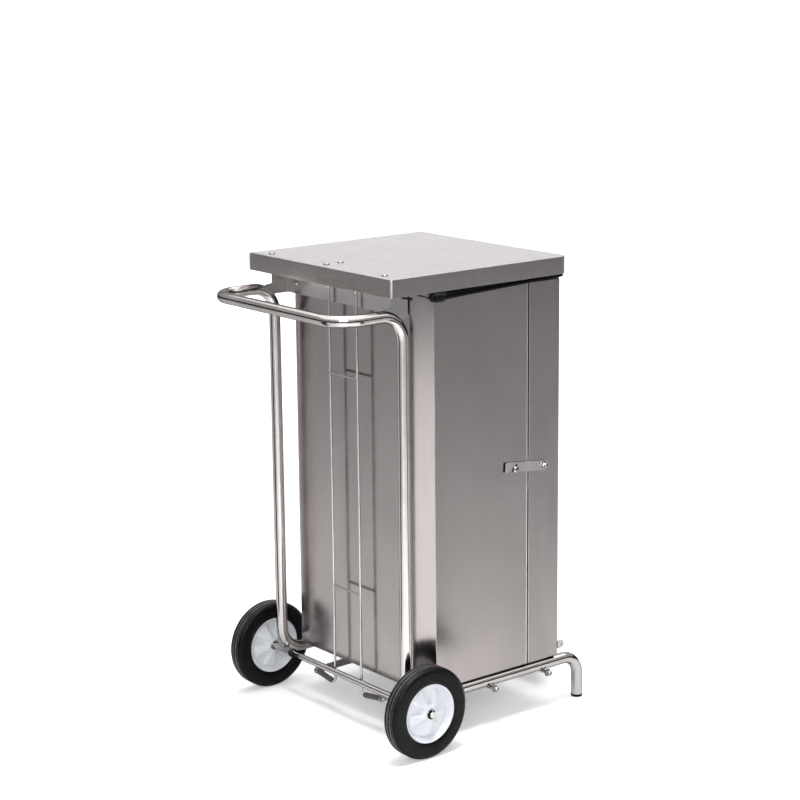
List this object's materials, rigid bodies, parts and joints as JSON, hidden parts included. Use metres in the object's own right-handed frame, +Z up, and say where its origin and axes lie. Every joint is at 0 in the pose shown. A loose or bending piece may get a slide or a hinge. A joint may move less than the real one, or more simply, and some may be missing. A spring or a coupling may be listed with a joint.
{
  "type": "pedal waste bin",
  "caption": "Wheeled stainless steel sack bin: folded body with a drop front, pedal-lifted lid, bent tube frame with push handle and feet, rear wheels and an elastic cord round the rim.",
  "frame": {"origin": "on the floor under the middle of the bounding box", "axes": "+Z up, +X to the left of someone pushing the handle, -Y towards the door and pedal"},
  "size_m": [0.621, 0.725, 1.0209],
  "materials": {
    "steel_sheet": "satin folded stainless sheet with handling marks",
    "steel_lid": "satin stainless sheet",
    "steel_tube": "bright polished stainless tube and wire",
    "steel_fastener": "bright fastener steel",
    "rubber": "matt black solid rubber",
    "hub_plastic": "satin white moulded plastic",
    "cord": "black braided elastic cord",
    "grip_rubber": "dark ribbed sleeve"
  },
  "bodies": {
    "cart": {"axle": "steel_tube", "axle_ring_left": "steel_fastener", "axle_ring_right": "steel_fastener", "body_shell": "steel_sheet", "bracket_bolt_left": "steel_fastener", "bracket_bolt_right": "steel_fastener", "bungee_cord_lower": "cord", "bungee_cord_upper": "cord", "cross_bar_front": "steel_fastener", "cross_bar_rear": "steel_fastener", "floor_panel": "steel_sheet", "foot_tip_left": "rubber", "foot_tip_right": "rubber", "frame_tube": "steel_tube", "hanger_bracket": "steel_sheet", "header_panel": "steel_sheet", "hinge_lug_left": "steel_fastener", "hinge_lug_right": "steel_fastener", "hook_left": "steel_fastener", "hook_right": "steel_fastener", "latch_pin_left": "steel_fastener", "latch_pin_right": "steel_fastener", "pivot_rod": "steel_fastener", "pivot_rod_nut_left": "steel_fastener", "pivot_rod_nut_right": "steel_fastener", "rim_ring": "steel_fastener", "stop_rod": "steel_fastener", "stop_rod_nut_left": "steel_fastener", "stop_rod_nut_right": "steel_fastener"},
    "lid": {"lid_ear_left": "steel_fastener", "lid_ear_right": "steel_fastener", "lid_panel": "steel_lid", "lid_screw_clip_front": "steel_fastener", "lid_screw_clip_rear": "steel_fastener", "lid_screw_hinge_left": "steel_fastener", "lid_screw_hinge_right": "steel_fastener", "rod_clip": "steel_fastener"},
    "lid_rods": {"lid_rod_frame": "steel_tube", "rod_sleeve_left": "grip_rubber", "rod_sleeve_right": "grip_rubber"},
    "pedal": {"pedal_arm_left": "steel_sheet", "pedal_arm_right": "steel_sheet", "pedal_pivot_tube": "steel_fastener", "pedal_plate": "steel_sheet"},
    "wheel_left": {"bush_left": "steel_fastener", "hub_left": "hub_plastic", "tyre_left": "rubber"},
    "wheel_right": {"bush_right": "steel_fastener", "hub_right": "hub_plastic", "tyre_right": "rubber"},
    "front_door": {"door_ear_left": "steel_fastener", "door_ear_right": "steel_fastener", "door_tray": "steel_sheet", "latch_nut_left": "steel_fastener", "latch_nut_right": "steel_fastener"},
    "latch_left": {"latch_strip_left": "steel_tube"},
    "latch_right": {"latch_strip_right": "steel_tube"}
  },
  "joints": [
    {"name": "lid_hinge", "type": "hinge", "parent": "cart", "child": "lid", "pos_m": [0, 0.196, 0.993], "axis": [-1, 0, 0], "range_deg": [0, 50]},
    {"name": "rod_top_pivot", "type": "hinge", "parent": "lid", "child": "lid_rods", "pos_m": [0, 0.177, 0.996], "axis": [-1, 0, 0], "range_deg": [-49.6, 0]},
    {"name": "pedal_pivot", "type": "hinge", "parent": "cart", "child": "pedal", "pos_m": [0, -0.047, 0.0832], "axis": [1, 0, 0], "range_deg": [0, 3.9]},
    {"name": "wheel_left_spin", "type": "hinge", "parent": "cart", "child": "wheel_left", "pos_m": [0.283, 0.183, 0.1], "axis": [1, 0, 0], "continuous": true},
    {"name": "wheel_right_spin", "type": "hinge", "parent": "cart", "child": "wheel_right", "pos_m": [-0.283, 0.183, 0.1], "axis": [1, 0, 0], "continuous": true},
    {"name": "front_door_hinge", "type": "hinge", "parent": "cart", "child": "front_door", "pos_m": [0, -0.2485, 0.139], "axis": [1, 0, 0], "range_deg": [0, 90]},
    {"name": "latch_left_pivot", "type": "hinge", "parent": "front_door", "child": "latch_left", "pos_m": [0.239, -0.191, 0.563], "axis": [1, 0, 0], "range_deg": [0, 95]},
    {"name": "latch_right_pivot", "type": "hinge", "parent": "front_door", "child": "latch_right", "pos_m": [-0.239, -0.191, 0.563], "axis": [1, 0, 0], "range_deg": [0, 95]}
  ],
  "couplings": [
    {"joint": "rod_top_pivot", "follows": "lid_hinge", "ratio": -0.9905},
    {"joint": "pedal_pivot", "follows": "lid_hinge", "ratio": 0.0767}
  ]
}
